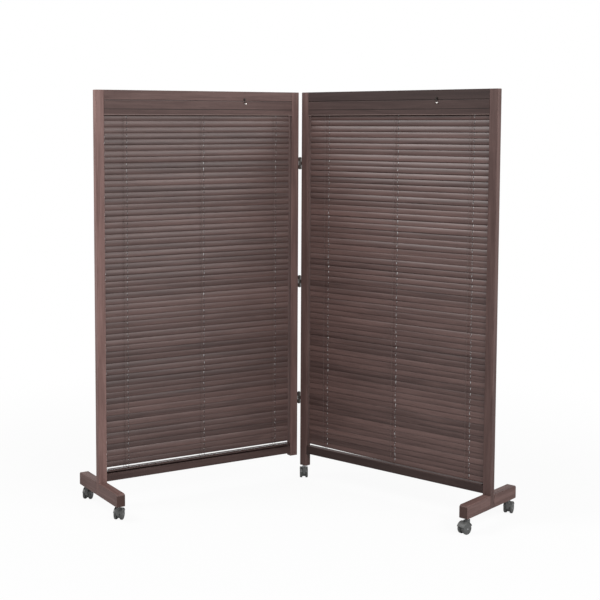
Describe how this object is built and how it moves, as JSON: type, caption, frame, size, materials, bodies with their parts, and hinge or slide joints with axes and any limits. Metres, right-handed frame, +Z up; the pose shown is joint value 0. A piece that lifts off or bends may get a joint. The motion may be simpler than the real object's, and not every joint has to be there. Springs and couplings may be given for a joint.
{
  "type": "folding screen",
  "caption": "Free-standing folding room screen on swivel casters: hinged dark wood frames on T-feet, each filled by a wooden slatted blind that tilts from a worm-driven rod.",
  "frame": {"origin": "on the floor, in the middle of the ground that the screen covers", "axes": "+X along the screen's spread from the left panel to the right one, +Y from its open front to the fold, +Z up"},
  "size_m": [1.5802, 0.6606, 1.5],
  "materials": {
    "frame_wood": "dark stained wood, satin lacquer",
    "slat_wood": "dark stained slats, satin lacquer",
    "dowel_wood": "plain beech",
    "hinge_steel": "dull dark metal",
    "channel_metal": "brown paint",
    "rod_steel": "zinc plated",
    "hook_steel": "zinc plated",
    "works_plastic": "plain moulded",
    "cord": "braided brown cord",
    "caster_hood": "dark grey moulded",
    "caster_wheel": "grey moulded",
    "caster_steel": "zinc plated"
  },
  "bodies": {
    "right_panel": {"right_outer_post": "frame_wood", "right_inner_post": "frame_wood", "right_top_rail": "frame_wood", "right_bottom_rail": "frame_wood", "right_foot": "frame_wood", "right_dowels": "dowel_wood", "right_head_channel": "channel_metal", "right_valance": "slat_wood", "right_drum_cradles": "works_plastic", "right_tilter_housing": "works_plastic", "right_slats": "slat_wood", "right_bottom_bar": "slat_wood", "right_ladder_cords": "cord", "right_lift_cords": "cord", "right_hinge_leaves": "hinge_steel", "right_hinge_screws": "hinge_steel", "hinge_pins": "hinge_steel"},
    "right_tilt_shaft": {"right_tilt_rod": "rod_steel", "right_tilt_drums": "works_plastic"},
    "right_tilter": {"right_tilter_hook": "hook_steel"},
    "left_panel": {"left_outer_post": "frame_wood", "left_inner_post": "frame_wood", "left_top_rail": "frame_wood", "left_bottom_rail": "frame_wood", "left_foot": "frame_wood", "left_dowels": "dowel_wood", "left_head_channel": "channel_metal", "left_valance": "slat_wood", "left_drum_cradles": "works_plastic", "left_tilter_housing": "works_plastic", "left_slats": "slat_wood", "left_bottom_bar": "slat_wood", "left_ladder_cords": "cord", "left_lift_cords": "cord", "left_hinge_leaves": "hinge_steel", "left_hinge_screws": "hinge_steel"},
    "left_tilt_shaft": {"left_tilt_rod": "rod_steel", "left_tilt_drums": "works_plastic"},
    "left_tilter": {"left_tilter_hook": "hook_steel"},
    "left_front_caster": {"left_front_caster_hood": "caster_hood", "left_front_caster_pins": "caster_steel"},
    "left_front_caster_near_wheel": {"left_front_caster_near_wheel": "caster_wheel"},
    "left_front_caster_far_wheel": {"left_front_caster_far_wheel": "caster_wheel"},
    "left_rear_caster": {"left_rear_caster_hood": "caster_hood", "left_rear_caster_pins": "caster_steel"},
    "left_rear_caster_near_wheel": {"left_rear_caster_near_wheel": "caster_wheel"},
    "left_rear_caster_far_wheel": {"left_rear_caster_far_wheel": "caster_wheel"},
    "right_front_caster": {"right_front_caster_hood": "caster_hood", "right_front_caster_pins": "caster_steel"},
    "right_front_caster_near_wheel": {"right_front_caster_near_wheel": "caster_wheel"},
    "right_front_caster_far_wheel": {"right_front_caster_far_wheel": "caster_wheel"},
    "right_rear_caster": {"right_rear_caster_hood": "caster_hood", "right_rear_caster_pins": "caster_steel"},
    "right_rear_caster_near_wheel": {"right_rear_caster_near_wheel": "caster_wheel"},
    "right_rear_caster_far_wheel": {"right_rear_caster_far_wheel": "caster_wheel"},
    "middle_caster": {"middle_caster_hood": "caster_hood", "middle_caster_pins": "caster_steel"},
    "middle_caster_near_wheel": {"middle_caster_near_wheel": "caster_wheel"},
    "middle_caster_far_wheel": {"middle_caster_far_wheel": "caster_wheel"}
  },
  "joints": [
    {"name": "fold", "type": "hinge", "parent": "right_panel", "child": "left_panel", "pos_m": [0, 0.29257, 0.776], "axis": [0, 0, 1], "range_deg": [-71.5, 80.5]},
    {"name": "left_slat_tilt", "type": "hinge", "parent": "left_panel", "child": "left_tilt_shaft", "pos_m": [-0.35344, 0.05353, 1.4632], "axis": [-0.8116, -0.5842, 0], "range_deg": [0, 150]},
    {"name": "left_wand_turn", "type": "hinge", "parent": "left_panel", "child": "left_tilter", "pos_m": [-0.20736, 0.1587, 1.471], "axis": [-0.5842, 0.8116, 0], "range_deg": [0, 1800]},
    {"name": "right_slat_tilt", "type": "hinge", "parent": "right_panel", "child": "right_tilt_shaft", "pos_m": [0.35344, 0.05353, 1.4632], "axis": [-0.8116, 0.5842, 0], "range_deg": [0, 150]},
    {"name": "right_wand_turn", "type": "hinge", "parent": "right_panel", "child": "right_tilter", "pos_m": [0.49952, -0.05163, 1.471], "axis": [0.5842, 0.8116, 0], "range_deg": [0, 1800]},
    {"name": "left_front_caster_swivel", "type": "hinge", "parent": "left_panel", "child": "left_front_caster", "pos_m": [-0.60127, -0.29369, 0.055], "axis": [0, 0, 1], "continuous": true},
    {"name": "left_front_caster_near_wheel_spin", "type": "hinge", "parent": "left_front_caster", "child": "left_front_caster_near_wheel", "pos_m": [-0.59938, -0.27881, 0.02], "axis": [0.992, -0.1262, 0], "continuous": true},
    {"name": "left_front_caster_far_wheel_spin", "type": "hinge", "parent": "left_front_caster", "child": "left_front_caster_far_wheel", "pos_m": [-0.59938, -0.27881, 0.02], "axis": [0.992, -0.1262, 0], "continuous": true},
    {"name": "left_rear_caster_swivel", "type": "hinge", "parent": "left_panel", "child": "left_rear_caster", "pos_m": [-0.76136, -0.07132, 0.055], "axis": [0, 0, 1], "continuous": true},
    {"name": "left_rear_caster_near_wheel_spin", "type": "hinge", "parent": "left_rear_caster", "child": "left_rear_caster_near_wheel", "pos_m": [-0.75972, -0.05641, 0.02], "axis": [0.9941, -0.1089, 0], "continuous": true},
    {"name": "left_rear_caster_far_wheel_spin", "type": "hinge", "parent": "left_rear_caster", "child": "left_rear_caster_far_wheel", "pos_m": [-0.75972, -0.05641, 0.02], "axis": [0.9941, -0.1089, 0], "continuous": true},
    {"name": "right_front_caster_swivel", "type": "hinge", "parent": "right_panel", "child": "right_front_caster", "pos_m": [0.60127, -0.29369, 0.055], "axis": [0, 0, 1], "continuous": true},
    {"name": "right_front_caster_near_wheel_spin", "type": "hinge", "parent": "right_front_caster", "child": "right_front_caster_near_wheel", "pos_m": [0.59081, -0.30444, 0.02], "axis": [-0.7163, 0.6978, 0], "continuous": true},
    {"name": "right_front_caster_far_wheel_spin", "type": "hinge", "parent": "right_front_caster", "child": "right_front_caster_far_wheel", "pos_m": [0.59081, -0.30444, 0.02], "axis": [-0.7163, 0.6978, 0], "continuous": true},
    {"name": "right_rear_caster_swivel", "type": "hinge", "parent": "right_panel", "child": "right_rear_caster", "pos_m": [0.76136, -0.07132, 0.055], "axis": [0, 0, 1], "continuous": true},
    {"name": "right_rear_caster_near_wheel_spin", "type": "hinge", "parent": "right_rear_caster", "child": "right_rear_caster_near_wheel", "pos_m": [0.76655, -0.05725, 0.02], "axis": [0.9382, -0.3461, 0], "continuous": true},
    {"name": "right_rear_caster_far_wheel_spin", "type": "hinge", "parent": "right_rear_caster", "child": "right_rear_caster_far_wheel", "pos_m": [0.76655, -0.05725, 0.02], "axis": [0.9382, -0.3461, 0], "continuous": true},
    {"name": "middle_caster_swivel", "type": "hinge", "parent": "right_panel", "child": "middle_caster", "pos_m": [0.02151, 0.29249, 0.055], "axis": [0, 0, 1], "continuous": true},
    {"name": "middle_caster_near_wheel_spin", "type": "hinge", "parent": "middle_caster", "child": "middle_caster_near_wheel", "pos_m": [0.02, 0.30741, 0.02], "axis": [0.995, 0.1002, 0], "continuous": true},
    {"name": "middle_caster_far_wheel_spin", "type": "hinge", "parent": "middle_caster", "child": "middle_caster_far_wheel", "pos_m": [0.02, 0.30741, 0.02], "axis": [0.995, 0.1002, 0], "continuous": true}
  ],
  "couplings": [
    {"joint": "left_wand_turn", "follows": "left_slat_tilt", "ratio": 12},
    {"joint": "right_wand_turn", "follows": "right_slat_tilt", "ratio": 12}
  ]
}
